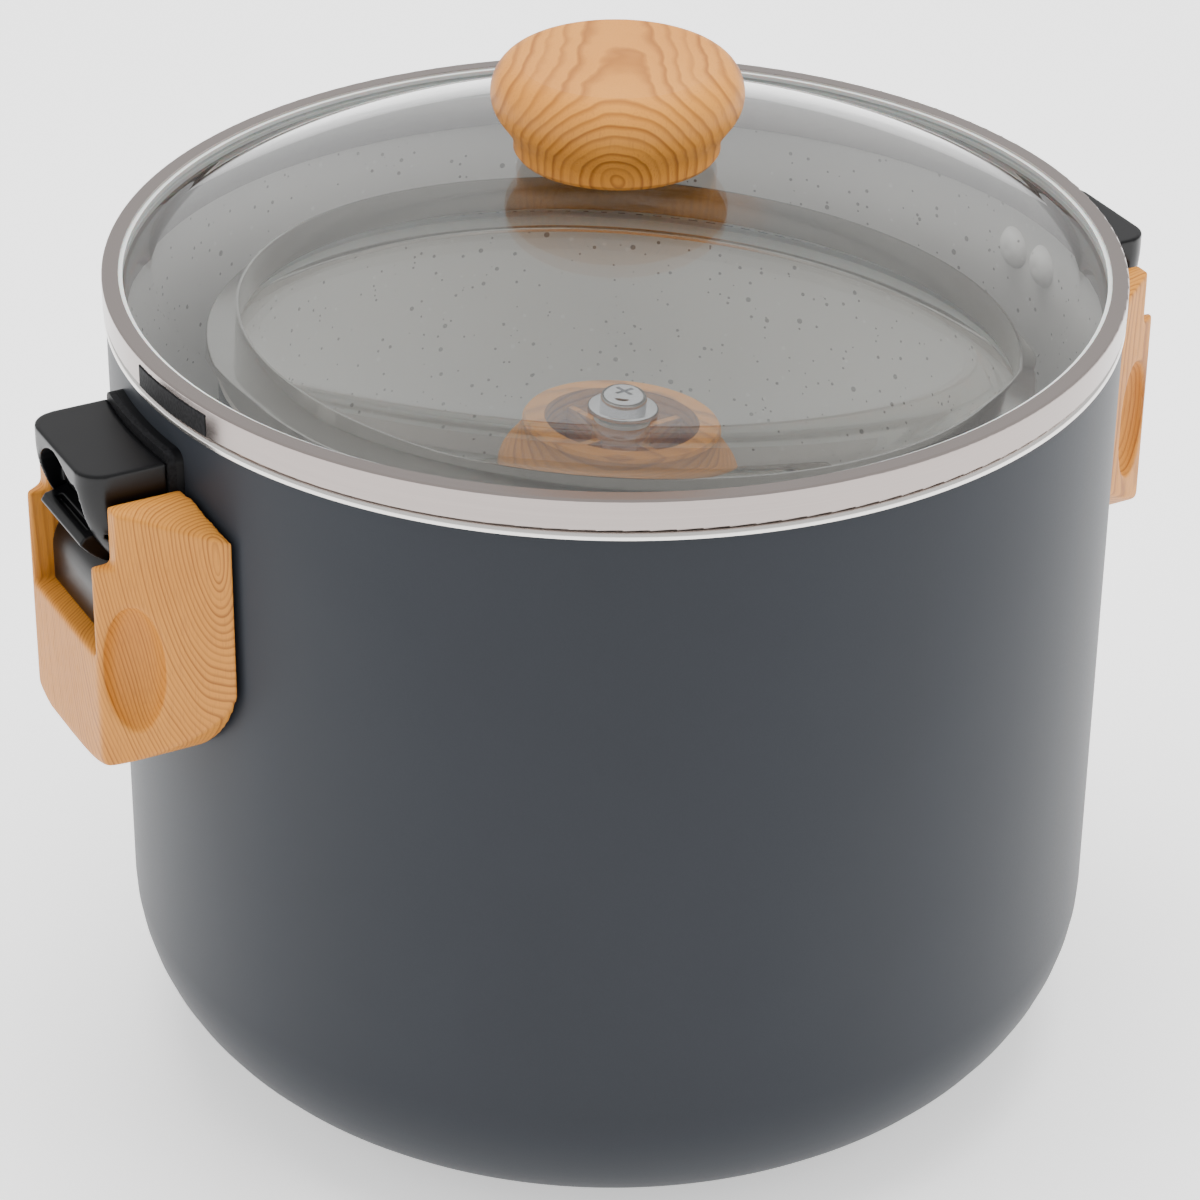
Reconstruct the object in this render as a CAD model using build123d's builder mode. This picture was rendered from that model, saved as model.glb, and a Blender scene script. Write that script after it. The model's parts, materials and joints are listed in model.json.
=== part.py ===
from build123d import *
import os
from math import cos, radians, sin, sqrt

# Stacking stock pot: a tall pot with two folding side handles and a glass lid.
# Inside it stand a medium pan and a small pan, each closed by its own glass lid
# turned upside down, so that the knob hangs into the pan.
# Millimetres. Origin at the centre of the pot's base, +Z up, handles on the X axis.

# --- Driving dimensions ---------------------------------------------------------

# Vessels: outer wall radius, wall, height to the rim, bottom corner radius, floor
pot_radius = 122.4
pot_wall = 3.0
pot_height = 200.0
pot_corner = 41.7
pan_wall = 2.6
medium_radius = 100.9
medium_height = 165.0
medium_corner = 34.0
small_radius = 80.6
small_height = 84.0
small_corner = 24.0
floor_thickness = 4.0
bead_height = 2.4
bead_proud = 0.5
disc_thickness = 1.0

# The nested stack leans where the medium pan rides up the pot's rounded corner
stack_lean = 4.8
stack_lean_heading = 13.0
stack_base = (-11.6, -5.6, 10.2)

# Lids: the ring is folded from sheet, its flange rests on the rim, its skirt hangs
ring_sheet = 0.6
ring_depth = 7.7
ring_lip = 4.0
skirt_depth = 8.0
glass_thickness = 4.0
glass_edge_gap = 1.4
glass_hole_radius = 3.6
lid_ring_radius = 123.0
lid_skirt_radius = 118.5
lid_crown = 34.4
medium_ring_radius = 101.5
medium_skirt_radius = 94.6
medium_crown = 20.0
small_ring_radius = 81.2
small_skirt_radius = 75.6
small_crown = 16.0
seat_gap = 0.3

# Lid knob, a hollow puck
knob_base_radius = 24.6
knob_waist_radius = 23.9
knob_widest_radius = 30.0
knob_top_radius = 23.6
knob_height = 23.0
knob_widest_height = 15.0
knob_hollow_radius = 19.2
knob_roof = 4.0
knob_post_radius = 7.1
knob_rib = 1.8
bush_radius = 3.6
bush_length = 12.0
screw_radius = 2.5
screw_head_radius = 5.7
screw_head_height = 3.8
screw_length = 19.0
steel_washer_radius = 8.7
steel_washer_thickness = 1.2
washer_gap = 0.2
seal_washer_radius = 7.0
seal_washer_thickness = 1.0

# Drain inserts in the lid ring's outer face, beside the handles
insert_span = 14.0
insert_offset = 6.7
insert_depth = 1.3
insert_proud = 0.3
insert_low = 0.4
insert_top = 5.9
insert_headings = (insert_offset, 180 + insert_offset)

# Handle: bracket plate, pad, housing and hinge
rivet_height = 181.4
rivet_angle = 3.15
rivet_radius = 2.5
rivet_head_radius = 5.4
rivet_head_height = 2.3
rivet_tail_radius = 4.1
rivet_tail_height = 1.3
bracket_thickness = 1.8
bracket_half_width = 18.7
bracket_low = 160.0
bracket_top = 192.3
pad_thickness = 1.8
ear_thickness = 2.0
ear_offset = 15.6
ear_radius = 5.5
hinge_x = 134.0
hinge_z = 178.5
hinge_radius = 2.0
hinge_half_length = 23.6
running_gap = 0.06
housing_half_width = 17.9
housing_outer = 145.0
housing_top = 190.0
housing_front_low = 185.5
housing_low = 164.5
housing_corner = 6.5

# Latch in the housing's scooped front
scoop_half_width = 13.2
scoop_top = 188.3
scoop_shoulder = (8.8, 185.4)
scoop_floor = 138.4
latch_half_width = 12.4
latch_back = 137.6
latch_nose = 144.8
latch_low = 164.6
latch_top = 173.6
latch_travel = 2.5
spring_height = 169.5
spring_seat = 129.0
spring_radius = 2.4
spring_wire = 0.7
spring_coils = 5

# Grip, a U-shaped block with a finger scoop in each side
grip_top = 183.4
grip_low = 112.6
grip_outer = 145.3
grip_outer_half_width = 20.8
grip_wing_x = 115.0
grip_wing_half_width = 39.9
grip_wall_gap = 1.2
wing_half_width = 39.0
wing_low = 146.0
slot_half_width = 19.2
slot_floor = 145.0
arm_face = 140.5
arm_step = 169.0
relief_bands = ((45, 14.9), (30, 13.8), (23.5, 12.6))
grip_round = ((34.0, 127.5), (21.0, 115.6))
shoulder_start = 23.5
shoulder_slope = 23.0
grip_edge = 2.0
finger_along = 8.6
finger_size = (7.2, 5.6, 16.4)
finger_middle = 142.5
cover_back = 131.0
cover_front = 140.2
cover_top = 162.6
cover_side_gap = 0.1

os.makedirs("parts", exist_ok=True)

pieces = {}


# --- Vessels --------------------------------------------------------------------


def vessel(radius, wall, height, corner):
    """A deep-drawn vessel with rounded bottom corners, a turned rim and a disc seat."""
    inner = radius - wall
    inner_corner = corner - wall
    outer_mid = corner * (1 - cos(radians(45)))
    inner_mid = inner_corner * (1 - cos(radians(45)))
    seat_radius = radius - corner - 2
    with BuildPart() as body:
        with BuildSketch(Plane.XZ):
            with BuildLine():
                Polyline(
                    (0, floor_thickness),
                    (0, disc_thickness),
                    (seat_radius, disc_thickness),
                    (seat_radius, 0),
                    (radius - corner, 0),
                )
                ThreePointArc(
                    (radius - corner, 0),
                    (radius - outer_mid, outer_mid),
                    (radius, corner),
                )
                Polyline(
                    (radius, corner),
                    (radius, height - bead_height),
                    (radius + bead_proud, height - bead_height + bead_proud),
                    (radius + bead_proud, height - bead_proud),
                )
                ThreePointArc(
                    (radius + bead_proud, height - bead_proud),
                    (radius - wall / 2, height),
                    (inner, height - bead_proud),
                )
                Line((inner, height - bead_proud), (inner, floor_thickness + inner_corner))
                ThreePointArc(
                    (inner, floor_thickness + inner_corner),
                    (inner - inner_mid, floor_thickness + inner_mid),
                    (inner - inner_corner, floor_thickness),
                )
                Line((inner - inner_corner, floor_thickness), (0, floor_thickness))
            make_face()
        revolve(axis=Axis.Z)
    with BuildPart() as disc:
        with BuildSketch():
            Circle(seat_radius)
        extrude(amount=disc_thickness)
    return {"shell": body.part, "base_disc": disc.part}


# --- Lids -----------------------------------------------------------------------
# Each lid is made upright with its flange's underside at z = 0.


def lid_ring(ring_radius, skirt_radius):
    """Folded sheet ring: top lip, outer face, flange and skirt."""
    with BuildPart() as ring:
        with BuildSketch(Plane.XZ):
            with BuildLine():
                Polyline(
                    (skirt_radius - ring_sheet, -skirt_depth),
                    (skirt_radius, -skirt_depth),
                    (skirt_radius, 0),
                    (ring_radius, 0),
                    (ring_radius, ring_depth),
                    (ring_radius - ring_lip, ring_depth),
                    (ring_radius - ring_lip, ring_depth - ring_sheet),
                    (ring_radius - ring_sheet, ring_depth - ring_sheet),
                    (ring_radius - ring_sheet, ring_sheet),
                    (skirt_radius - ring_sheet, ring_sheet),
                    (skirt_radius - ring_sheet, -skirt_depth),
                )
            make_face()
            outer_corners = vertices().group_by(Axis.X)[-1]
            fillet(outer_corners, radius=ring_sheet * 0.9)
        revolve(axis=Axis.Z)
    return ring.part


def lid_glass(ring_radius, crown):
    """Tempered dome with a flat edge band, drilled in the middle for the screw."""
    edge = ring_radius - glass_edge_gap - ring_sheet
    band = ring_radius - 8
    low = ring_sheet + glass_edge_gap
    high = low + glass_thickness

    def dome(r, base):
        rise = crown - high
        ball = (band * band + rise * rise) / (2 * rise)
        return base + rise - ball + sqrt(ball * ball - r * r)

    hole = glass_hole_radius
    with BuildPart() as glass:
        with BuildSketch(Plane.XZ):
            with BuildLine():
                ThreePointArc(
                    (hole, dome(hole, high)), (band / 2, dome(band / 2, high)), (band, high)
                )
                Polyline((band, high), (edge, high), (edge, low), (band, low))
                ThreePointArc(
                    (band, low), (band / 2, dome(band / 2, low)), (hole, dome(hole, low))
                )
                Line((hole, dome(hole, low)), (hole, dome(hole, high)))
            make_face()
        revolve(axis=Axis.Z)
    return glass.part


def lid_seal(ring_radius):
    """Silicone channel between the glass edge and the folded ring."""
    outside = ring_radius - ring_sheet
    inside = ring_radius - ring_lip - 1
    edge = ring_radius - glass_edge_gap - ring_sheet
    low = ring_sheet + glass_edge_gap
    high = low + glass_thickness
    with BuildPart() as seal:
        with BuildSketch(Plane.XZ):
            with BuildLine():
                Polyline(
                    (inside, ring_sheet),
                    (outside, ring_sheet),
                    (outside, ring_depth - ring_sheet),
                    (inside, ring_depth - ring_sheet),
                    (inside, high),
                    (edge, high),
                    (edge, low),
                    (inside, low),
                    (inside, ring_sheet),
                )
            make_face()
        revolve(axis=Axis.Z)
    return seal.part


def lid_knob(seat):
    """Hollow puck with a central post on four ribs, bored for its threaded bush."""
    roof = seat + knob_height - knob_roof
    with BuildPart() as knob:
        with BuildSketch(Plane.XZ):
            with BuildLine():
                outline = Spline(
                    (knob_base_radius, seat + 1.0),
                    (knob_base_radius + 0.5, seat + 4.5),
                    (knob_widest_radius - 0.8, seat + 11.0),
                    (knob_widest_radius, seat + knob_widest_height),
                    (knob_widest_radius - 1.6, seat + 19.8),
                    (knob_top_radius, seat + knob_height),
                )
                Polyline(outline @ 1, (0, seat + knob_height + 0.6), (0, roof))
                Polyline(
                    (0, roof),
                    (knob_hollow_radius, roof),
                    (knob_hollow_radius, seat),
                    (knob_waist_radius, seat),
                    (knob_base_radius, seat + 1.0),
                )
            make_face()
        revolve(axis=Axis.Z)
        with BuildSketch(Plane.XY.offset(seat)):
            Circle(knob_post_radius)
            Circle(bush_radius, mode=Mode.SUBTRACT)
        extrude(amount=roof - seat + 0.5)
        with BuildSketch(Plane.XY.offset(seat + 4)):
            Rectangle(2 * knob_hollow_radius + 1, knob_rib)
            Rectangle(knob_rib, 2 * knob_hollow_radius + 1)
            Circle(knob_post_radius - 1, mode=Mode.SUBTRACT)
        extrude(amount=roof - seat - 3.5)
    return knob.part


def knob_bush(seat):
    """Threaded brass bush moulded into the knob's post."""
    with BuildPart() as bush:
        with BuildSketch(Plane.XY.offset(seat + 0.4)):
            Circle(bush_radius)
            Circle(screw_radius, mode=Mode.SUBTRACT)
        extrude(amount=bush_length)
    return bush.part


def seal_washer(seat):
    """Silicone washer between the knob's post and the glass."""
    with BuildPart() as washer:
        with BuildSketch(Plane.XY.offset(seat - seal_washer_thickness)):
            Circle(seal_washer_radius)
            Circle(glass_hole_radius, mode=Mode.SUBTRACT)
        extrude(amount=seal_washer_thickness)
    return washer.part


def steel_washer(under):
    """Steel washer under the screw head."""
    with BuildPart() as washer:
        with BuildSketch(Plane.XY.offset(under - steel_washer_thickness)):
            Circle(steel_washer_radius)
            Circle(screw_radius + 0.3, mode=Mode.SUBTRACT)
        extrude(amount=steel_washer_thickness)
        fillet(washer.edges().group_by(Axis.Z)[0].sort_by(SortBy.LENGTH)[-1], radius=0.5)
    return washer.part


def knob_screw(under):
    """Cross-recess pan-head screw that comes up through the glass."""
    head_low = under - steel_washer_thickness - screw_head_height
    with BuildPart() as screw:
        with BuildSketch(Plane.XY.offset(head_low)):
            Circle(screw_head_radius)
        extrude(amount=screw_head_height)
        fillet(screw.edges().group_by(Axis.Z)[0], radius=1.9)
        with BuildSketch(Plane.XY.offset(head_low + screw_head_height)):
            Circle(screw_radius)
        extrude(amount=screw_length - 2)
        chamfer(screw.edges().group_by(Axis.Z)[-1], length=0.6)
        with BuildSketch(Plane.XY.offset(head_low)):
            Rectangle(5.4, 1.1)
            Rectangle(1.1, 5.4)
        extrude(amount=1.9, taper=12, mode=Mode.SUBTRACT)
    return screw.part


def glass_lid(ring_radius, skirt_radius, crown):
    """All pieces of one lid, upright, flange underside at z = 0."""
    seat = crown + seal_washer_thickness
    under = crown - glass_thickness
    return {
        "ring": lid_ring(ring_radius, skirt_radius),
        "glass": lid_glass(ring_radius, crown),
        "glass_seal": lid_seal(ring_radius),
        "knob": lid_knob(seat),
        "knob_bush": knob_bush(seat),
        "knob_seal_washer": seal_washer(seat),
        "knob_washer": steel_washer(under - washer_gap),
        "knob_screw": knob_screw(under - washer_gap),
    }


def insert_window(depth, proud, low, top):
    """Arc-shaped block in the lid ring's outer face, centred on +X."""
    with BuildPart() as block:
        with BuildSketch(Plane.XZ.rotated((0, 0, -insert_span / 2))):
            with Locations((lid_ring_radius + (proud - depth) / 2, (low + top) / 2)):
                Rectangle(depth + proud, top - low)
        revolve(axis=Axis.Z, revolution_arc=insert_span)
    return block.part


def drain_insert():
    """Silicone strip set into the ring's outer face, with a rounded front."""
    with BuildPart() as insert:
        add(insert_window(insert_depth, insert_proud, insert_low, insert_top))
        outer_face = insert.faces().sort_by(SortBy.AREA)[-1]
        fillet(outer_face.edges(), radius=0.25)
    return insert.part


def notched(part):
    """The part with windows for both drain inserts cut out of it."""
    window = insert_window(insert_depth, 1, insert_low, insert_top)
    with BuildPart() as cut:
        add(part)
        for heading in insert_headings:
            add(window, rotation=(0, 0, heading), mode=Mode.SUBTRACT)
    return cut.part


# --- Handles --------------------------------------------------------------------
# The right handle, on +X, is made here. The left one is the same turned half a turn.


def shell_holes(part):
    """The pot shell with the rivet holes of both handles."""
    with BuildPart() as drilled:
        add(part)
        for heading in (0, 180):
            for angle in (heading - rivet_angle, heading + rivet_angle):
                along = Vector(cos(radians(angle)), sin(radians(angle)), 0)
                with BuildSketch(Plane(origin=Vector(0, 0, rivet_height) + along * 100, z_dir=along)):
                    Circle(rivet_radius)
                extrude(amount=40, mode=Mode.SUBTRACT)
    return drilled.part


def rivets():
    """Four rivets with coated heads inside the pot and set tails on the brackets."""
    inside = pot_radius - pot_wall - 0.15
    tail = pot_radius + bracket_thickness + 0.1
    with BuildPart() as group:
        for heading in (0, 180):
            for angle in (heading - rivet_angle, heading + rivet_angle):
                along = Vector(cos(radians(angle)), sin(radians(angle)), 0)
                centre = Vector(0, 0, rivet_height)
                with BuildSketch(
                    Plane(origin=centre, x_dir=along, z_dir=(along.Y, -along.X, 0))
                ):
                    with BuildLine():
                        ThreePointArc(
                            (inside - rivet_head_height, 0),
                            (inside - rivet_head_height * 0.8, rivet_head_radius * 0.62),
                            (inside, rivet_head_radius),
                        )
                        Polyline(
                            (inside, rivet_head_radius),
                            (inside, rivet_radius),
                            (tail, rivet_radius),
                            (tail, rivet_tail_radius),
                            (tail + rivet_tail_height, rivet_tail_radius - 0.8),
                            (tail + rivet_tail_height, 0),
                            (inside - rivet_head_height, 0),
                        )
                    make_face()
                revolve(axis=Axis(centre, along))
    return group.part


def wall_plate(inner, thickness, half_width, low, top, corner):
    """A plate bent to the pot's wall, with rounded corners."""
    with BuildPart() as plate:
        with BuildSketch(Plane.XY.offset(low)):
            Circle(inner + thickness)
            Circle(inner, mode=Mode.SUBTRACT)
        extrude(amount=top - low)
        with BuildSketch(Plane.YZ):
            with Locations((0, (low + top) / 2)):
                RectangleRounded(2 * half_width, top - low, corner)
        extrude(amount=200, mode=Mode.INTERSECT)
    return plate.part


def ear_slots(clearance):
    """Sketch of the two bracket ears seen from the wall."""
    with Locations((-ear_offset, hinge_z), (ear_offset, hinge_z)):
        Rectangle(ear_thickness + 2 * clearance, 2 * ear_radius + 2 * clearance)


def bracket():
    """Steel bracket: a riveted plate and two ears that carry the hinge pin."""
    with BuildPart() as steel:
        add(
            wall_plate(
                pot_radius, bracket_thickness, bracket_half_width, bracket_low, bracket_top, 3
            )
        )
        for side in (-1, 1):
            with BuildSketch(Plane.XZ.offset(-side * ear_offset - ear_thickness / 2)):
                with Locations((hinge_x, hinge_z)):
                    Circle(ear_radius)
                with Locations(((pot_radius + hinge_x) / 2, hinge_z)):
                    Rectangle(hinge_x - pot_radius, 2 * ear_radius)
            extrude(amount=ear_thickness)
        with BuildSketch(Plane.XZ.offset(-30)):
            with Locations((hinge_x, hinge_z)):
                Circle(hinge_radius)
        extrude(amount=60, mode=Mode.SUBTRACT)
        for angle in (-rivet_angle, rivet_angle):
            along = Vector(cos(radians(angle)), sin(radians(angle)), 0)
            with BuildSketch(Plane(origin=Vector(0, 0, rivet_height) + along * 100, z_dir=along)):
                Circle(rivet_radius)
            extrude(amount=28, mode=Mode.SUBTRACT)
    return steel.part


def bracket_pad():
    """Heat-insulating pad between the bracket and the housing."""
    with BuildPart() as pad:
        add(
            wall_plate(
                pot_radius + bracket_thickness,
                pad_thickness,
                bracket_half_width,
                bracket_low,
                bracket_top,
                3,
            )
        )
        with BuildSketch(Plane.YZ):
            with Locations((0, rivet_height)):
                SlotOverall(2 * rivet_tail_radius + 15.5, 2 * rivet_tail_radius + 1.2)
            ear_slots(0.2)
        extrude(amount=200, mode=Mode.SUBTRACT)
    return pad.part


def hinge_pin():
    """Steel pin through the grip's arms, the housing and the bracket ears."""
    with BuildPart() as pin:
        with BuildSketch(Plane.XZ.offset(-hinge_half_length)):
            with Locations((hinge_x, hinge_z)):
                Circle(hinge_radius)
        extrude(amount=2 * hinge_half_length)
        chamfer(pin.edges().filter_by(GeomType.CIRCLE), length=0.4)
    return pin.part


def housing():
    """Moulded block with a flat top, a scooped front and a pocket for the latch."""
    back = pot_radius + bracket_thickness + pad_thickness
    with BuildPart() as block:
        with BuildSketch(Plane.XZ.offset(-housing_half_width)):
            with BuildLine():
                Polyline((100, housing_low), (100, housing_top), (housing_outer, housing_top))
                Line((housing_outer, housing_top), (housing_outer, housing_front_low))
                ThreePointArc(
                    (housing_outer, housing_front_low),
                    (housing_outer - 1.9, housing_front_low - 10),
                    (housing_outer - 8.4, housing_low + 0.6),
                )
                Polyline(
                    (housing_outer - 8.4, housing_low + 0.6),
                    (housing_outer - 9.4, housing_low),
                    (100, housing_low),
                )
            make_face()
        extrude(amount=2 * housing_half_width)
        front_corners = block.edges().filter_by(Axis.Z).group_by(Axis.X)[-1]
        fillet(front_corners, radius=housing_corner)
        with BuildSketch(Plane.XY.offset(housing_low - 1)):
            Circle(back)
        extrude(amount=40, mode=Mode.SUBTRACT)
        split(bisect_by=Plane.YZ.offset(110), keep=Keep.TOP)
        with BuildSketch(Plane.YZ.offset(scoop_floor)):
            with BuildLine():
                Polyline(
                    (scoop_half_width, latch_top + 1),
                    (scoop_half_width, latch_low - 6),
                    (-scoop_half_width, latch_low - 6),
                    (-scoop_half_width, latch_top + 1),
                )
                Spline(
                    (-scoop_half_width, latch_top + 1),
                    (-scoop_shoulder[0], scoop_shoulder[1]),
                    (0, scoop_top),
                    scoop_shoulder,
                    (scoop_half_width, latch_top + 1),
                    tangents=((0, 1), (0, -1)),
                )
            make_face()
        extrude(amount=12, mode=Mode.SUBTRACT)
        with BuildSketch(Plane.YZ.offset(latch_back - latch_travel - 0.4)):
            with Locations((0, (latch_top + latch_low) / 2 - 2.5)):
                Rectangle(2 * scoop_half_width, latch_top - latch_low + 6)
        extrude(amount=20, mode=Mode.SUBTRACT)
        with BuildSketch(Plane.YZ.offset(spring_seat)):
            with Locations((0, spring_height)):
                Circle(spring_radius + spring_wire)
        extrude(amount=12, mode=Mode.SUBTRACT)
        with BuildSketch(Plane.YZ):
            ear_slots(0.15)
        extrude(amount=hinge_x + ear_radius + 0.2, mode=Mode.SUBTRACT)
        with BuildSketch(Plane.XZ.offset(-30)):
            with Locations((hinge_x, hinge_z)):
                Circle(hinge_radius)
        extrude(amount=60, mode=Mode.SUBTRACT)
    return block.part


def latch():
    """Wedge-nosed push latch with a grip groove along its top."""
    with BuildPart() as wedge:
        with BuildSketch(Plane.XZ.offset(-latch_half_width)):
            with BuildLine():
                Polyline(
                    (latch_back, latch_low + 0.4),
                    (latch_back, latch_top),
                    (latch_nose - 1.2, latch_top - 1.4),
                    (latch_nose, latch_top - 3.0),
                )
                ThreePointArc(
                    (latch_nose, latch_top - 3.0),
                    (latch_nose - 3.4, latch_top - 6.6),
                    (latch_nose - 6.2, latch_low + 0.4),
                )
                Line((latch_nose - 6.2, latch_low + 0.4), (latch_back, latch_low + 0.4))
            make_face()
        extrude(amount=2 * latch_half_width)
        with BuildSketch(Plane.XY.offset(latch_top - 2.6)):
            with Locations((latch_nose - 3.6, 0)):
                Rectangle(1.6, 1.5 * latch_half_width)
        extrude(amount=6, mode=Mode.SUBTRACT)
        fillet(wedge.edges().filter_by(Axis.Y).group_by(Axis.X)[-1], radius=0.5)
    return wedge.part


def latch_spring():
    """Compression spring behind the latch."""
    length = latch_back - spring_seat - spring_wire - 0.1
    start = (spring_seat + spring_wire / 2 + 0.05, 0, spring_height)
    with BuildPart() as spring:
        with BuildLine() as coil:
            Helix(
                pitch=length / spring_coils,
                height=length,
                radius=spring_radius,
                center=start,
                direction=(1, 0, 0),
            )
        with BuildSketch(coil.line ^ 0):
            Circle(spring_wire / 2)
        sweep(is_frenet=True)
    return spring.part


def grip():
    """Handgrip that straddles the housing: two arms, a cross bar and finger scoops."""
    side_direction = Vector(
        grip_outer - grip_wing_x, -(grip_wing_half_width - grip_outer_half_width), 0
    ).normalized()
    finger_scoop = scale(Sphere(radius=1), by=finger_size)
    with BuildPart() as handle:
        with BuildSketch(Plane.XY.offset(grip_low)):
            with BuildLine():
                Polyline(
                    (grip_wing_x, -grip_wing_half_width),
                    (grip_outer, -grip_outer_half_width),
                    (grip_outer, grip_outer_half_width),
                    (grip_wing_x, grip_wing_half_width),
                    (grip_wing_x, -grip_wing_half_width),
                )
            make_face()
        extrude(amount=grip_top - grip_low)
        with BuildSketch(Plane.YZ):
            with BuildLine():
                Polyline(
                    (-wing_half_width, wing_low),
                    (-wing_half_width, grip_top),
                    (wing_half_width, grip_top),
                    (wing_half_width, wing_low),
                )
                Spline(
                    (wing_half_width, wing_low),
                    *grip_round,
                    (0, grip_low),
                    *[(-y, z) for y, z in reversed(grip_round)],
                    (-wing_half_width, wing_low),
                    tangents=((0, -1), (0, 1)),
                )
            make_face()
        extrude(amount=200, mode=Mode.INTERSECT)
        for side in (1, -1):
            slope = (0, side * sin(radians(shoulder_slope)), cos(radians(shoulder_slope)))
            shoulder = Plane(origin=(hinge_x, side * shoulder_start, grip_top), z_dir=slope)
            split(bisect_by=shoulder, keep=Keep.BOTTOM)
        front_edges = handle.edges().group_by(Axis.X)[-1]
        fillet(front_edges, radius=grip_edge)
        with BuildSketch(Plane.XY.offset(grip_low - 5)):
            Circle(pot_radius + grip_wall_gap)
        extrude(amount=100, mode=Mode.SUBTRACT)
        for half_width, swing in relief_bands:
            with BuildSketch(Plane.XZ.offset(-half_width)):
                with BuildLine():
                    Polyline(
                        (hinge_x - swing, hinge_z),
                        (100, hinge_z),
                        (100, hinge_z + swing),
                        (hinge_x, hinge_z + swing),
                    )
                    ThreePointArc(
                        (hinge_x, hinge_z + swing),
                        (hinge_x - swing * cos(radians(45)), hinge_z + swing * sin(radians(45))),
                        (hinge_x - swing, hinge_z),
                    )
                make_face()
            extrude(amount=2 * half_width, mode=Mode.SUBTRACT)
        with BuildSketch(Plane.YZ.offset(100)):
            with Locations((0, (slot_floor + grip_top) / 2 + 5)):
                Rectangle(2 * slot_half_width, grip_top - slot_floor + 10)
        extrude(amount=60, mode=Mode.SUBTRACT)
        with BuildSketch(Plane.YZ.offset(arm_face)):
            with Locations((0, (arm_step + grip_top) / 2 + 5)):
                Rectangle(100, grip_top - arm_step + 10)
        extrude(amount=20, mode=Mode.SUBTRACT)
        for side in (1, -1):
            along = Vector(side_direction.X, side * side_direction.Y, 0)
            corner = Vector(grip_outer, side * grip_outer_half_width, finger_middle)
            spot = Plane(origin=corner - along * finger_along, x_dir=along, z_dir=(0, 0, 1))
            add(finger_scoop.moved(spot.location), mode=Mode.SUBTRACT)
        with BuildSketch(Plane.XZ.offset(-hinge_half_length - 0.6)):
            with Locations((hinge_x, hinge_z)):
                Circle(hinge_radius + running_gap)
        extrude(amount=2 * hinge_half_length + 1.2, mode=Mode.SUBTRACT)
    return handle.part


def grip_cover():
    """Smooth cover that closes the slot between the grip's arms."""
    half_width = slot_half_width - cover_side_gap
    with BuildPart() as cover:
        with BuildSketch(Plane.XZ.offset(-half_width)):
            with BuildLine():
                Polyline(
                    (cover_back, slot_floor + 0.1),
                    (cover_back, cover_top),
                    (cover_front - 4.5, cover_top),
                )
                ThreePointArc(
                    (cover_front - 4.5, cover_top),
                    (cover_front - 1.5, cover_top - 3.2),
                    (cover_front, cover_top - 8.5),
                )
                Polyline(
                    (cover_front, cover_top - 8.5),
                    (cover_front, slot_floor + 0.1),
                    (cover_back, slot_floor + 0.1),
                )
            make_face()
        extrude(amount=2 * half_width)
    return cover.part


# --- Assembly -------------------------------------------------------------------

upright = Location((0, 0, 0))
lean_side = Vector(cos(radians(stack_lean_heading)), sin(radians(stack_lean_heading)), 0)
lean_axis = Vector(-lean_side.Y, lean_side.X, 0)
lean_normal = lean_side * sin(radians(stack_lean)) + Vector(0, 0, cos(radians(stack_lean)))
stack_plane = Plane(
    origin=stack_base, x_dir=lean_axis.cross(lean_normal), z_dir=lean_normal
)


def place(prefix, parts, location):
    """Keep each part under prefix_name, moved to its place."""
    for name, part in parts.items():
        with BuildPart() as placed:
            with Locations(location):
                add(part)
        pieces[f"{prefix}_{name}"] = placed.part


def on_stack(height, inverted=False):
    """Location at a height along the leaning stack's axis, upside down if inverted."""
    spot = stack_plane.offset(height)
    if inverted:
        spot = Plane(origin=spot.origin, x_dir=spot.x_dir, z_dir=-spot.z_dir)
    return spot.location


pot_parts = vessel(pot_radius, pot_wall, pot_height, pot_corner)
pot_parts["shell"] = shell_holes(pot_parts["shell"])
place("pot", pot_parts, upright)
medium_parts = vessel(medium_radius, pan_wall, medium_height, medium_corner)
place("medium_pan", medium_parts, on_stack(0))
small_parts = vessel(small_radius, pan_wall, small_height, small_corner)
small_seat = floor_thickness + seat_gap
place("small_pan", small_parts, on_stack(small_seat))

main_lid = glass_lid(lid_ring_radius, lid_skirt_radius, lid_crown)
for name in ("ring", "glass_seal"):
    main_lid[name] = notched(main_lid[name])
for side, turn in zip(("right", "left"), insert_headings):
    with BuildPart() as turned_insert:
        add(drain_insert(), rotation=(0, 0, turn))
    main_lid[f"drain_insert_{side}"] = turned_insert.part
place("lid", main_lid, Location((0, 0, pot_height + seat_gap)))

medium_lid = glass_lid(medium_ring_radius, medium_skirt_radius, medium_crown)
medium_lid_height = medium_height + seat_gap + ring_depth
place("medium_lid", medium_lid, on_stack(medium_lid_height, inverted=True))

small_lid = glass_lid(small_ring_radius, small_skirt_radius, small_crown)
small_lid_height = small_seat + small_height + seat_gap + ring_depth
place("small_lid", small_lid, on_stack(small_lid_height, inverted=True))

pieces["handle_rivets"] = rivets()
handle_parts = {
    "bracket": bracket(),
    "bracket_pad": bracket_pad(),
    "housing": housing(),
    "hinge_pin": hinge_pin(),
    "latch": latch(),
    "latch_spring": latch_spring(),
    "grip": grip(),
    "grip_cover": grip_cover(),
}
for side, turn in (("right", 0), ("left", 180)):
    for name, part in handle_parts.items():
        with BuildPart() as turned:
            add(part, rotation=(0, 0, turn))
        pieces[f"{name}_{side}"] = turned.part

for name, part in pieces.items():
    part.label = name
    export_step(part, f"parts/{name}.step")
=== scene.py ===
import json
from math import cos, pi, radians, sin

import bpy
from mathutils import Matrix, Vector


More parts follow.
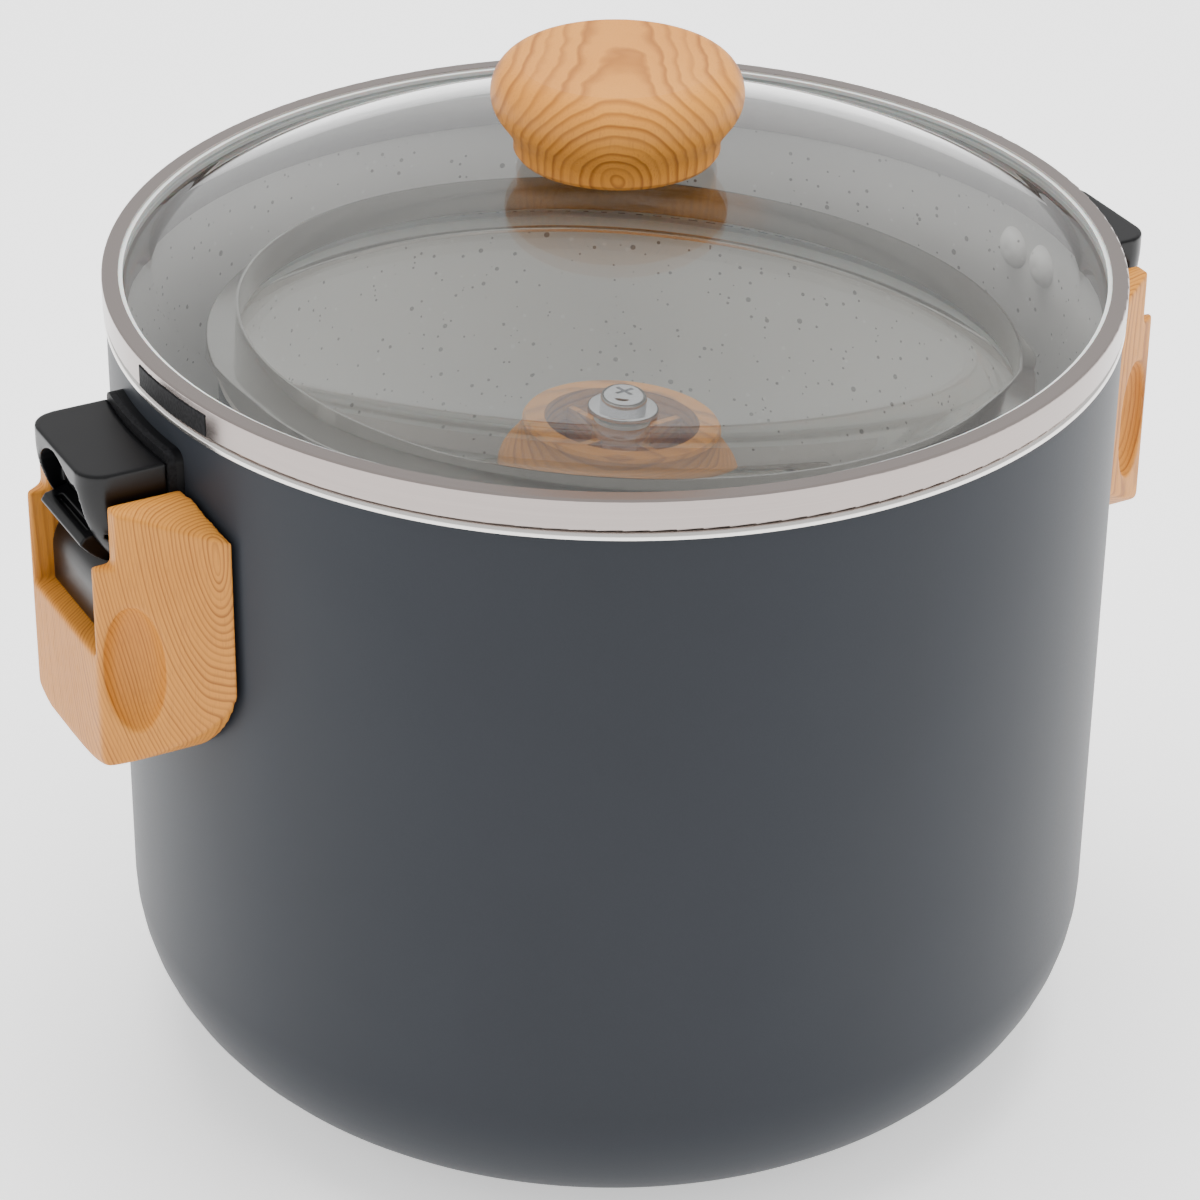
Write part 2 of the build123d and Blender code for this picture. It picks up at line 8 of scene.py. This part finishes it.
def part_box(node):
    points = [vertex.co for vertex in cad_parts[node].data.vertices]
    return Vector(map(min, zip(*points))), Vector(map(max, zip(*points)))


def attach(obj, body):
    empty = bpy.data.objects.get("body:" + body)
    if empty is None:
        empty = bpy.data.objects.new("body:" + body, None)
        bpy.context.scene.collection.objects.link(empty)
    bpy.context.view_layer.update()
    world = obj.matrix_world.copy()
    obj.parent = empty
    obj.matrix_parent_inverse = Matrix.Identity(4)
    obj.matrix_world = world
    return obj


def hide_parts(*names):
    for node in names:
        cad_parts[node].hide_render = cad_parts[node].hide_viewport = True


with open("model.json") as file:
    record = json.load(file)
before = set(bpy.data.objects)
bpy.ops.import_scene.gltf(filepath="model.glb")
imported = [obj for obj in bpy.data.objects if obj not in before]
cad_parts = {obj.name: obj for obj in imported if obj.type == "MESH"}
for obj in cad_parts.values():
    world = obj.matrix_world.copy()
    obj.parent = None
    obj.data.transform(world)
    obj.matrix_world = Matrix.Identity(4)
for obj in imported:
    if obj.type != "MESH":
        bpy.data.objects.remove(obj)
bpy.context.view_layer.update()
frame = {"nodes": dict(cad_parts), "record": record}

# Tall stock pot with two folding handles, a glass lid, and two smaller pans nested
# inside under upturned glass lids. Metres, in the CAD frame: origin at the centre of
# the pot's base, handles along X.

MM = 0.001


# --- Camera ---------------------------------------------------------------------
# A long lens from the front left, looking down over the rim.

CAMERA_PLACE = (-0.4304, -0.7953, 0.6379)
CAMERA_HEADING = 28.25
CAMERA_PITCH = 30.19
CAMERA_ROLL = 0.69
CAMERA_LENS = 124.5


def make_camera():
    """The camera at the photographed viewing angle."""
    data = bpy.data.cameras.new("camera")
    data.lens = CAMERA_LENS
    data.sensor_width = 36.0
    data.clip_start = 0.05
    data.clip_end = 20.0
    camera = bpy.data.objects.new("camera", data)
    bpy.context.scene.collection.objects.link(camera)
    turn = Matrix.Rotation(radians(-CAMERA_HEADING), 4, "Z")
    tilt = Matrix.Rotation(radians(90 - CAMERA_PITCH), 4, "X")
    roll = Matrix.Rotation(radians(CAMERA_ROLL), 4, "Z")
    camera.matrix_world = Matrix.Translation(CAMERA_PLACE) @ turn @ tilt @ roll
    bpy.context.scene.camera = camera


make_camera()


# --- Where things are -----------------------------------------------------------


def middle(node):
    """Centre of a CAD node's box."""
    low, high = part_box(node)
    return (Vector(low) + Vector(high)) / 2


# The nested stack leans along the line from the medium pan's base to its lid's washer
stack_foot = middle("medium_pan_base_disc")
stack_axis = (middle("medium_lid_knob_washer") - stack_foot).normalized()


# --- Node helpers ---------------------------------------------------------------


class Shader:
    """A material's node tree with short calls to add and join nodes."""

    def __init__(self, name):
        self.material = bpy.data.materials.new(name)
        self.material.use_nodes = True
        self.tree = self.material.node_tree
        self.surface = self.tree.nodes["Principled BSDF"]
        self.output = self.tree.nodes["Material Output"]

    def add(self, kind, settings=None, **inputs):
        """A new node with its settings and its input values or links."""
        node = self.tree.nodes.new(kind)
        for key, value in (settings or {}).items():
            setattr(node, key, value)
        for key, value in inputs.items():
            self.put(node, key.replace("_", " "), value)
        return node

    def put(self, node, key, value):
        """Sets an input by name or number to a value or to another node's output."""
        socket = node.inputs[int(key)] if str(key).isdigit() else node.inputs[key]
        if isinstance(value, bpy.types.NodeSocket):
            self.tree.links.new(value, socket)
        else:
            socket.default_value = value

    def math(self, operation, a, b=0.0, c=0.0, clamp=False):
        """Output of a Math node."""
        node = self.tree.nodes.new("ShaderNodeMath")
        node.operation = operation
        node.use_clamp = clamp
        for index, value in enumerate((a, b, c)):
            self.put(node, index, value)
        return node.outputs[0]

    def mix(self, factor, a, b, blend="MIX"):
        """Colour output of a colour Mix node."""
        node = self.tree.nodes.new("ShaderNodeMix")
        node.data_type = "RGBA"
        node.blend_type = blend
        self.put(node, 0, factor)
        self.put(node, 6, a)
        self.put(node, 7, b)
        return node.outputs[2]

    def ramp(self, factor, *stops):
        """Colour output of a Color Ramp with (position, colour or grey) stops."""
        node = self.tree.nodes.new("ShaderNodeValToRGB")
        elements = node.color_ramp.elements
        while len(elements) < len(stops):
            elements.new(0.5)
        for element, (position, value) in zip(elements, stops):
            element.position = position
            grey = (value, value, value, 1.0) if isinstance(value, float) else value
            element.color = grey
        self.put(node, 0, factor)
        return node.outputs[0]

    def coordinates(self, place=(0, 0, 0), turn=(0, 0, 0), scale=(1, 1, 1)):
        """Object coordinates, moved, turned and scaled."""
        texture = self.tree.nodes.new("ShaderNodeTexCoord")
        mapping = self.add("ShaderNodeMapping", {"vector_type": "POINT"})
        self.put(mapping, "Vector", texture.outputs["Object"])
        self.put(mapping, "Location", place)
        self.put(mapping, "Rotation", turn)
        self.put(mapping, "Scale", scale)
        return mapping.outputs[0]

    def noise(self, vector, scale, detail=2.0, roughness=0.5, distortion=0.0):
        """Factor output of a noise texture."""
        node = self.add("ShaderNodeTexNoise")
        self.put(node, "Vector", vector)
        self.put(node, "Scale", scale)
        self.put(node, "Detail", detail)
        self.put(node, "Roughness", roughness)
        self.put(node, "Distortion", distortion)
        return node.outputs["Fac"]

    def bump(self, height, strength, distance):
        """Feeds a bump from a height into the surface shader."""
        node = self.add("ShaderNodeBump")
        self.put(node, "Height", height)
        self.put(node, "Strength", strength)
        self.put(node, "Distance", distance)
        self.tree.links.new(node.outputs[0], self.surface.inputs["Normal"])

    def set(self, **values):
        """Sets the surface shader's sockets."""
        for key, value in values.items():
            self.put(self.surface, key.replace("_", " "), value)


def srgb(red, green, blue):
    """Linear colour from 0 to 255 screen values."""

    def linear(value):
        value = value / 255
        return value / 12.92 if value <= 0.04045 else ((value + 0.055) / 1.055) ** 2.4

    return (linear(red), linear(green), linear(blue), 1.0)


# --- Materials ------------------------------------------------------------------


def dark_coating():
    """Matt dark grey non-stick with a very fine sprayed grain."""
    shader = Shader("dark_coating")
    where = shader.coordinates()
    fine = shader.noise(where, 2600, 2.0, 0.6)
    broad = shader.noise(where, 26, 3.0, 0.5)
    colour = shader.mix(broad, srgb(38, 41, 46), srgb(43, 46, 51))
    colour = shader.mix(shader.math("MULTIPLY", fine, 0.35), colour, srgb(52, 55, 61))
    rough = shader.math("MULTIPLY_ADD", fine, 0.10, 0.38)
    shader.set(Base_Color=colour, Roughness=rough, Specular_IOR_Level=0.14)
    shader.bump(fine, 0.25, 0.00006)
    return shader.material


def pale_coating():
    """Pale warm grey non-stick strewn with small dark and light specks."""
    shader = Shader("pale_coating")
    where = shader.coordinates()
    cloud = shader.noise(where, 40, 3.0, 0.55)
    colour = shader.mix(cloud, srgb(222, 219, 215), srgb(232, 229, 225))
    speck_colour = {"dark": srgb(96, 88, 82), "light": srgb(244, 242, 239)}
    for kind, scale, size, spread in (
        ("dark", 240, 0.2, 0.6),
        ("dark", 480, 0.26, 0.55),
        ("light", 300, 0.2, 0.5),
    ):
        cells = shader.add("ShaderNodeTexVoronoi", {"feature": "F1"})
        shader.put(cells, "Vector", where)
        shader.put(cells, "Scale", scale)
        chosen = shader.add("ShaderNodeSeparateColor")
        shader.put(chosen, 0, cells.outputs["Color"])
        picked = shader.math("GREATER_THAN", chosen.outputs[0], spread)
        edge = shader.math("MULTIPLY", chosen.outputs[1], size)
        inside = shader.math("LESS_THAN", cells.outputs["Distance"], edge)
        mask = shader.math("MULTIPLY", picked, inside)
        mask = shader.math("MULTIPLY", mask, 0.8)
        colour = shader.mix(mask, colour, speck_colour[kind])
    fine = shader.noise(where, 1500, 2.0, 0.6)
    shader.set(Base_Color=colour, Roughness=0.42, Specular_IOR_Level=0.45)
    shader.bump(fine, 0.2, 0.00005)
    return shader.material


def sheet_steel(name, tone, rough):
    """Polished stainless steel with faint drawing lines round the axis."""
    shader = Shader(name)
    lines = shader.coordinates(scale=(8, 8, 2600))
    streaks = shader.noise(lines, 1.0, 3.0, 0.6)
    patches = shader.noise(shader.coordinates(), 30, 2.0, 0.5)
    mixed = shader.math("ADD", streaks, patches)
    level = shader.math("MULTIPLY_ADD", mixed, 0.10, rough - 0.10)
    colour = shader.mix(streaks, srgb(*tone), srgb(*[min(255, value + 12) for value in tone]))
    shader.set(Base_Color=colour, Metallic=1.0, Roughness=level)
    shader.bump(streaks, 0.06, 0.00003)
    return shader.material


def turned_steel():
    """Induction disc faced on a lathe, with rings of fine grooves."""
    shader = Shader("turned_steel")
    texture = shader.tree.nodes.new("ShaderNodeTexCoord")
    split = shader.add("ShaderNodeSeparateXYZ")
    shader.put(split, 0, texture.outputs["Object"])
    squares = [shader.math("MULTIPLY", split.outputs[i], split.outputs[i]) for i in (0, 1)]
    radius = shader.math("SQRT", shader.math("ADD", *squares))
    groove = shader.math("SINE", shader.math("MULTIPLY", radius, 6800.0))
    dull = shader.noise(shader.coordinates(), 60, 3.0, 0.6)
    rough = shader.math("MULTIPLY_ADD", dull, 0.15, 0.22)
    shader.set(Base_Color=srgb(196, 193, 190), Metallic=1.0, Roughness=rough)
    shader.bump(groove, 0.25, 0.00006)
    return shader.material


def lamp_glass(name, tint):
    """Clear glass that lets the lamps through to what it covers."""
    shader = Shader(name)
    shader.set(Base_Color=tint, Roughness=0.0, IOR=1.5, Transmission_Weight=1.0)
    clear = shader.add("ShaderNodeBsdfTransparent", Color=(0.985, 0.993, 0.988, 1.0))
    path = shader.tree.nodes.new("ShaderNodeLightPath")
    choose = shader.tree.nodes.new("ShaderNodeMixShader")
    shader.put(choose, 0, path.outputs["Is Shadow Ray"])
    shader.put(choose, 1, shader.surface.outputs[0])
    shader.put(choose, 2, clear.outputs[0])
    shader.tree.links.new(choose.outputs[0], shader.output.inputs["Surface"])
    return shader.material


def wood_effect(name, heart, along, density, wobble, stretch):
    """Pale wood-effect film: growth rings about a line through the heart, with pores."""
    shader = Shader(name)
    turn = Vector(along).rotation_difference(Vector((0, 0, 1))).to_matrix()
    place = turn @ -Vector(heart)
    lean = turn.to_euler()
    where = shader.coordinates(place=place, turn=lean)
    bend = shader.add("ShaderNodeTexNoise", {"noise_dimensions": "3D"})
    soft = shader.add("ShaderNodeMapping")
    shader.put(soft, "Vector", where)
    shader.put(soft, "Scale", stretch)
    shader.put(bend, "Vector", soft.outputs[0])
    shader.put(bend, "Scale", 60.0)
    shader.put(bend, "Detail", 2.0)
    centred = shader.add("ShaderNodeVectorMath", {"operation": "SUBTRACT"})
    shader.put(centred, 0, bend.outputs["Color"])
    shader.put(centred, 1, (0.5, 0.5, 0.5))
    shift = shader.add("ShaderNodeVectorMath", {"operation": "SCALE"})
    shader.put(shift, 0, centred.outputs[0])
    shader.put(shift, "Scale", wobble)
    moved = shader.add("ShaderNodeVectorMath", {"operation": "ADD"})
    shader.put(moved, 0, where)
    shader.put(moved, 1, shift.outputs[0])
    split = shader.add("ShaderNodeSeparateXYZ")
    shader.put(split, 0, moved.outputs[0])
    squares = [shader.math("MULTIPLY", split.outputs[i], split.outputs[i]) for i in (0, 1)]
    radius = shader.math("SQRT", shader.math("ADD", *squares))
    cone = shader.math("MULTIPLY_ADD", split.outputs[2], 0.16, radius)
    rings = shader.math("MULTIPLY", cone, density)
    cycle = shader.math("FRACT", rings)
    late = shader.ramp(cycle, (0.0, 0.0), (0.45, 0.1), (0.82, 1.0), (0.93, 0.55), (1.0, 0.0))
    year = shader.math("FLOOR", rings)
    random = shader.add("ShaderNodeTexWhiteNoise", {"noise_dimensions": "1D"})
    shader.put(random, "W", year)
    weight = shader.math("MULTIPLY_ADD", random.outputs["Value"], 0.6, 0.4)
    late = shader.math("MULTIPLY", late, weight)
    pores = shader.noise(shader.coordinates(scale=(1, 1, 0.1)), 2200, 2.0, 0.6)
    pore_line = shader.ramp(pores, (0.52, 0.0), (0.66, 1.0))
    broad = shader.noise(where, 22, 2.0, 0.5)
    base = shader.mix(broad, srgb(190, 122, 46), srgb(209, 143, 60))
    colour = shader.mix(shader.math("MULTIPLY", late, 0.85), base, srgb(126, 70, 24))
    colour = shader.mix(shader.math("MULTIPLY", pore_line, 0.22), colour, srgb(150, 100, 60))
    rough = shader.math("MULTIPLY_ADD", pore_line, 0.12, 0.46)
    height = shader.math("MULTIPLY_ADD", late, -0.4, shader.math("MULTIPLY", pore_line, -0.6))
    shader.set(Base_Color=colour, Roughness=rough, Specular_IOR_Level=0.22)
    shader.bump(height, 0.35, 0.00012)
    return shader.material


def black_plastic(name="black_plastic", rough=0.3):
    """Satin black moulded plastic."""
    shader = Shader(name)
    where = shader.coordinates()
    grain = shader.noise(where, 1800, 2.0, 0.6)
    cloud = shader.noise(where, 60, 2.0, 0.5)
    level = shader.math("MULTIPLY_ADD", cloud, 0.10, rough - 0.05)
    colour = shader.mix(grain, srgb(5, 5, 6), srgb(13, 13, 15))
    shader.set(Base_Color=colour, Roughness=level, Specular_IOR_Level=0.3)
    shader.bump(grain, 0.12, 0.00004)
    return shader.material


def black_silicone():
    """Matt black silicone with a fine pebbled skin."""
    shader = Shader("black_silicone")
    cells = shader.add("ShaderNodeTexVoronoi", {"feature": "SMOOTH_F1"})
    shader.put(cells, "Vector", shader.coordinates())
    shader.put(cells, "Scale", 1500.0)
    colour = shader.mix(cells.outputs["Distance"], srgb(14, 14, 15), srgb(40, 40, 42))
    shader.set(Base_Color=colour, Roughness=0.55, Specular_IOR_Level=0.12)
    shader.bump(cells.outputs["Distance"], 0.5, 0.00012)
    return shader.material


def clear_silicone():
    """Milky translucent silicone."""
    shader = Shader("clear_silicone")
    where = shader.coordinates()
    cloud = shader.noise(where, 90, 2.0, 0.5)
    colour = shader.mix(cloud, srgb(205, 207, 204), srgb(222, 224, 221))
    shader.set(Base_Color=colour, Roughness=0.4, Subsurface_Weight=0.2, Subsurface_Scale=0.002)
    return shader.material


def machined(name, tone, rough):
    """Bright machined metal with fine tool marks."""
    shader = Shader(name)
    marks = shader.noise(shader.coordinates(), 900, 3.0, 0.6)
    level = shader.math("MULTIPLY_ADD", marks, 0.12, rough - 0.04)
    colour = shader.mix(marks, srgb(*tone), srgb(*[min(255, value + 10) for value in tone]))
    shader.set(Base_Color=colour, Metallic=1.0, Roughness=level)
    shader.bump(marks, 0.08, 0.00003)
    return shader.material


# The knobs' rings spread from the lower front, the grips' from a knot in the near wing
KNOB_HEART = (-0.0124, -0.0229, 0.238)
KNOB_ALONG = (0.476, 0.879, 0.1)
GRIP_HEART = (0.122, 0.0375, 0.176)
GRIP_ALONG = (-0.16, -0.24, -1.0)

# Rings per metre, how far they wander, in metres, and the stretch of that wandering
KNOB_RINGS = (430.0, 0.004, (1, 1, 1))
GRIP_RINGS = (1100.0, 0.003, (1, 1, 0.12))

looks = {
    "dark_coating": dark_coating(),
    "pale_coating": pale_coating(),
    "rim_metal": sheet_steel("rim_metal", (226, 222, 218), 0.22),
    "lid_steel": sheet_steel("lid_steel", (158, 148, 144), 0.2),
    "base_steel": turned_steel(),
    "tempered_glass": lamp_glass("tempered_glass", (0.982, 0.993, 0.987, 1.0)),
    "clear_silicone": clear_silicone(),
    "black_silicone": black_silicone(),
    "black_plastic": black_plastic(),
    "bracket_steel": black_plastic("bracket_paint", 0.4),
    "pin_steel": machined("pin_steel", (196, 196, 198), 0.2),
    "screw_steel": machined("screw_steel", (214, 214, 216), 0.12),
    "brass": machined("brass", (214, 176, 98), 0.25),
    "wood_effect": wood_effect("wood_knob", KNOB_HEART, KNOB_ALONG, *KNOB_RINGS),
    "inner_steel": sheet_steel("inner_steel", (172, 170, 166), 0.16),
}
looks["rivet_coating"] = looks["pale_coating"]
looks["pan_coating"] = looks["dark_coating"]
for name, way in (("left", -1), ("right", 1)):
    heart = (way * GRIP_HEART[0], way * GRIP_HEART[1], GRIP_HEART[2])
    along = (way * GRIP_ALONG[0], way * GRIP_ALONG[1], GRIP_ALONG[2])
    looks["grip_" + name] = wood_effect("wood_grip_" + name, heart, along, *GRIP_RINGS)


def paint(obj, *materials):
    """Gives an object these materials, first slot first."""
    obj.data.materials.clear()
    for material in materials:
        obj.data.materials.append(material)


slots = {entry["node"]: entry["material_slot"] for entry in frame["record"]["subparts"]}
for node, obj in frame["nodes"].items():
    paint(obj, looks.get(node, looks[slots[node]]))


# --- Turned shapes --------------------------------------------------------------

SEGMENTS = 256


def turned(name, runs, place, axis, body, node, look_names):
    """Mesh turned about an axis from runs of (radius, height) points, one look per run.

    The runs follow one another and the last one closes on the first.
    """
    points = []
    tags = []
    for tag, run in runs:
        for point in run:
            points.append(point)
            tags.append(tag)
    turn = Vector((0, 0, 1)).rotation_difference(axis).to_matrix()
    verts = []
    rows = []
    for radius, height in points:
        if radius == 0:
            rows.append([len(verts)] * SEGMENTS)
            verts.append(turn @ Vector((0, 0, height)) + place)
            continue
        row = []
        for step in range(SEGMENTS):
            angle = 2 * pi * step / SEGMENTS
            row.append(len(verts))
            verts.append(turn @ Vector((radius * cos(angle), radius * sin(angle), height)) + place)
        rows.append(row)
    faces = []
    looks_at = []
    count = len(points)
    for index in range(count):
        low = rows[index]
        high = rows[(index + 1) % count]
        if low[0] == low[1] and high[0] == high[1]:
            continue
        for step in range(SEGMENTS):
            after = (step + 1) % SEGMENTS
            corners = [low[step], low[after], high[after], high[step]]
            face = list(dict.fromkeys(corners))
            faces.append(face)
            looks_at.append(tags[index])
    mesh = bpy.data.meshes.new(name)
    mesh.from_pydata(verts, [], faces)
    for look in look_names:
        mesh.materials.append(looks[look])
    mesh.polygons.foreach_set("material_index", looks_at)
    mesh.update()
    obj = bpy.data.objects.new(name, mesh)
    bpy.context.scene.collection.objects.link(obj)
    smooth_by_angle(obj)
    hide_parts(node)
    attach(obj, body)
    return obj


def smooth_by_angle(obj, angle=32):
    """Shades smooth and keeps edges sharper than an angle."""
    mesh = obj.data
    mesh.polygons.foreach_set("use_smooth", [True] * len(mesh.polygons))
    mesh.set_sharp_from_angle(angle=radians(angle))


def bow(centre, radius, start, end, count=14):
    """Points on an arc about (r, z), from one angle to another, in degrees."""
    points = []
    for step in range(count + 1):
        angle = radians(start + (end - start) * step / count)
        points.append((centre[0] + radius * cos(angle), centre[1] + radius * sin(angle)))
    return points


# --- Vessels with a pale inside and a bare rim ----------------------------------


FLOOR_THICKNESS = 4.0 * MM
DISC_THICKNESS = 1.0 * MM
BEAD_HEIGHT = 2.4 * MM
BEAD_PROUD = 0.5 * MM
BEAD_ROUND = 1.2 * MM
UP = Vector((0, 0, 1))

# Name, body, then outer radius, wall, height and corner radius in millimetres
VESSELS = (
    ("pot", "pot", 122.4, 3.0, 200.0, 41.7),
    ("medium_pan", "medium_pan", 100.9, 2.6, 165.0, 34.0),
    ("small_pan", "small_pan", 80.6, 2.6, 84.0, 24.0),
)


def bead(radius, wall, height):
    """Half-round top of a vessel's rim, from outside to inside."""
    middle_radius = radius - (wall - BEAD_PROUD) / 2
    half = (wall + BEAD_PROUD) / 2
    points = []
    for angle in range(0, 181, 15):
        lift = BEAD_ROUND * (sin(radians(angle)) - 1)
        points.append((middle_radius + half * cos(radians(angle)), height + lift))
    return points


def vessel(name, body, radius, wall, height, corner):
    """Drawn vessel: coated outside, speckled inside, bare turned bead at the rim."""
    radius, wall, height, corner = (value * MM for value in (radius, wall, height, corner))
    axis = UP if name == "pot" else stack_axis
    foot = middle(name + "_base_disc") - DISC_THICKNESS / 2 * axis
    seat = radius - corner - 2 * MM
    inner = radius - wall
    inner_corner = corner - wall
    curve = bow((radius - corner, corner), corner, -90, 0)
    hollow_middle = (inner - inner_corner, FLOOR_THICKNESS + inner_corner)
    hollow = bow(hollow_middle, inner_corner, 0, -90)
    neck = height - BEAD_HEIGHT
    runs = [
        (0, [(0, DISC_THICKNESS), (seat, DISC_THICKNESS), (seat, 0), *curve, (radius, neck)]),
        (1, [(radius + BEAD_PROUD, neck + BEAD_PROUD), *bead(radius, wall, height)]),
        (2, [(inner, neck), *hollow, (0, FLOOR_THICKNESS)]),
    ]
    skins = ("dark_coating", "rim_metal", "pale_coating")
    turned(name + "_turned", runs, foot, axis, body, name + "_shell", skins)


for sizes in VESSELS:
    vessel(*sizes)


# --- Lids: round domes and folded rings -----------------------------------------

RING_SHEET = 0.6 * MM
RING_DEPTH = 7.7 * MM
RING_LIP = 4.0 * MM
RING_BREAK = 0.3 * MM
SKIRT_DEPTH = 8.0 * MM
GLASS_THICKNESS = 4.0 * MM
GLASS_LOW = 2.0 * MM
GLASS_HOLE = 3.6 * MM
GLASS_BAND = 8.0 * MM
WASHER_DROP = 4.8 * MM

# Name, body, then ring radius, skirt radius and crown in millimetres
LIDS = (
    ("lid", "main_lid", 123.0, 118.5, 34.4),
    ("medium_lid", "medium_lid", 101.5, 94.6, 20.0),
    ("small_lid", "small_lid", 81.2, 75.6, 16.0),
)


def dome(band, rise, base, count=24):
    """Points on a dome from the hole's edge out to the flat band."""
    ball = (band * band + rise * rise) / (2 * rise)
    points = []
    for step in range(count + 1):
        radius = GLASS_HOLE + (band - GLASS_HOLE) * step / count
        points.append((radius, base + rise - ball + (ball * ball - radius * radius) ** 0.5))
    return points


def lid(name, body, ring, skirt, crown):
    """Glass dome of one lid, and the folded ring of the two lids without drain inserts."""
    ring, skirt, crown = (value * MM for value in (ring, skirt, crown))
    axis = UP if name == "lid" else -stack_axis
    foot = middle(name + "_knob_washer") - (crown - WASHER_DROP) * axis
    band = ring - GLASS_BAND
    top = GLASS_LOW + GLASS_THICKNESS
    rise = crown - top
    edge = [(ring - GLASS_LOW, GLASS_LOW), (ring - GLASS_LOW, top)]
    under = dome(band, rise, GLASS_LOW)
    over = dome(band, rise, top)[::-1]
    glass = [(0, under + edge + over)]
    turned(name + "_dome", glass, foot, axis, body, name + "_glass", ("tempered_glass",))
    if name == "lid":
        return
    folded = [
        (skirt, -SKIRT_DEPTH), (skirt, 0), (ring - RING_BREAK, 0), (ring, RING_BREAK),
        (ring, RING_DEPTH - RING_BREAK), (ring - RING_BREAK, RING_DEPTH),
        (ring - RING_LIP, RING_DEPTH), (ring - RING_LIP, RING_DEPTH - RING_SHEET),
        (ring - RING_SHEET, RING_DEPTH - RING_SHEET), (ring - RING_SHEET, RING_SHEET),
        (skirt - RING_SHEET, RING_SHEET), (skirt - RING_SHEET, -SKIRT_DEPTH),
    ]
    runs = [(0, folded)]
    turned(name + "_hoop", runs, foot, axis, body, name + "_ring", ("inner_steel",))


for sizes in LIDS:
    lid(*sizes)


# --- Softened edges of the moulded pieces ---------------------------------------


# Node without its side, voxel size in millimetres, smoothing rounds
SOFTENED = (("grip_", 0.45, 22), ("grip_cover_", 0.4, 10), ("housing_", 0.35, 8), ("latch_", 0.3, 5))


def soften(node, voxel, rounds):
    """Rounds a moulded piece's edges, smoothly all over."""
    obj = frame["nodes"][node]
    remesh = obj.modifiers.new("even_mesh", "REMESH")
    remesh.mode = "VOXEL"
    remesh.voxel_size = voxel * MM
    remesh.use_smooth_shade = True
    smooth = obj.modifiers.new("soft_edges", "SMOOTH")
    smooth.factor = 0.5
    smooth.iterations = rounds


for side in ("left", "right"):
    for start, voxel, rounds in SOFTENED:
        soften(start + side, voxel, rounds)


# --- Lights and floor -----------------------------------------------------------


def make_floor():
    """A wide pale floor under the pot."""
    mesh = bpy.data.meshes.new("floor")
    size = 6.0
    drop = -0.0004
    mesh.from_pydata(
        [(-size, -size, drop), (size, -size, drop), (size, size, drop), (-size, size, drop)],
        [],
        [(0, 1, 2, 3)],
    )
    floor = bpy.data.objects.new("floor", mesh)
    bpy.context.scene.collection.objects.link(floor)
    shader = Shader("floor")
    shader.set(Base_Color=(0.9, 0.9, 0.9, 1.0), Roughness=0.75)
    shader.set(Emission_Color=(1.0, 1.0, 1.0, 1.0), Emission_Strength=0.7)
    paint(floor, shader.material)


def make_light(name, place, target, size, power):
    """A soft rectangular lamp that looks at a target."""
    data = bpy.data.lights.new(name, "AREA")
    data.shape = "RECTANGLE"
    data.size, data.size_y = size
    data.energy = power
    lamp = bpy.data.objects.new(name, data)
    bpy.context.scene.collection.objects.link(lamp)
    lamp.location = place
    lamp.visible_glossy = False
    lamp.visible_transmission = False
    lamp.rotation_euler = (Vector(target) - Vector(place)).to_track_quat("-Z", "Y").to_euler()


def make_world(strength):
    """Even white surroundings."""
    world = bpy.data.worlds.new("studio")
    bpy.context.scene.world = world
    world.use_nodes = True
    background = world.node_tree.nodes["Background"]
    background.inputs[0].default_value = (1.0, 1.0, 1.0, 1.0)
    background.inputs[1].default_value = strength


def make_lights():
    """Soft boxes left, right and overhead, round the viewing direction."""
    make_world(0.9)
    aim = (0, 0, 0.14)
    ahead = Vector((sin(radians(CAMERA_HEADING)), cos(radians(CAMERA_HEADING)), 0))
    aside = Vector((ahead.y, -ahead.x, 0))
    up = Vector((0, 0, 1))
    make_light("left_box", -1.5 * aside - 0.5 * ahead + 0.8 * up, aim, (1.0, 1.6), 12)
    make_light("right_box", 1.5 * aside - 0.3 * ahead + 0.8 * up, aim, (1.0, 1.6), 14)
    make_light("top_box", 0.2 * ahead + 1.8 * up, aim, (1.4, 1.4), 46)
    make_light("back_box", 1.6 * ahead + 1.1 * up, aim, (1.8, 0.8), 14)


make_floor()
make_lights()
